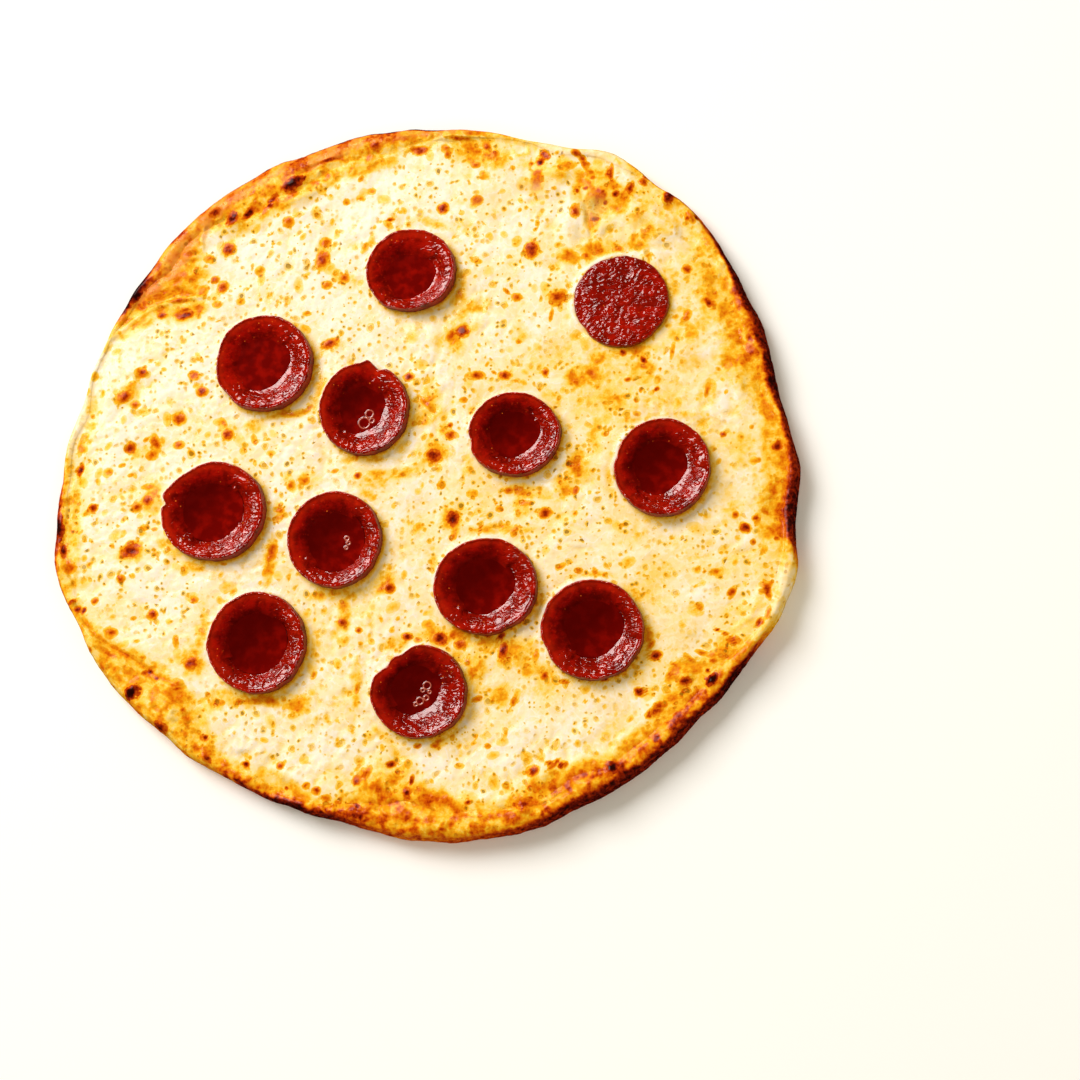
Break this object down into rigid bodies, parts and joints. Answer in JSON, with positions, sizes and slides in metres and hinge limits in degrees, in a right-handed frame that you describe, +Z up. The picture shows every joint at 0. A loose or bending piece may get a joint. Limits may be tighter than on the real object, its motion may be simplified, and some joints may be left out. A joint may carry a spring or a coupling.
{
  "type": "manakish",
  "caption": "Round flatbread baked with white cheese to a blistered brown crust, topped with cupped slices of cured red sausage, some holding red oil.",
  "frame": {"origin": "middle of the bounding box at the bread's flat underside", "axes": "+Z up out of the cheese side; +X and +Y in the underside's plane, with the wholly flat slice in the +X +Y quarter and the widest cups on the -X side"},
  "size_m": [0.289, 0.2784, 0.0159],
  "materials": {
    "bread": "baked bread crust, golden to dark brown, satin with fine pores",
    "cheese": "melted white cheese, creamy and oily, with toasted brown spots",
    "sausage": "cured ground-meat sausage, dark red, rough and oily",
    "oil": "pool of dark red rendered oil, very glossy"
  },
  "bodies": {
    "root": {"bread": "bread", "cheese": "cheese", "sausage_01": "sausage", "sausage_02": "sausage", "sausage_03": "sausage", "sausage_04": "sausage", "sausage_05": "sausage", "sausage_06": "sausage", "sausage_07": "sausage", "sausage_08": "sausage", "sausage_09": "sausage", "sausage_10": "sausage", "sausage_11": "sausage", "sausage_12": "sausage", "oil_01": "oil", "oil_03": "oil", "oil_04": "oil", "oil_05": "oil", "oil_06": "oil", "oil_07": "oil", "oil_08": "oil", "oil_09": "oil", "oil_10": "oil", "oil_11": "oil", "oil_12": "oil"}
  },
  "joints": []
}
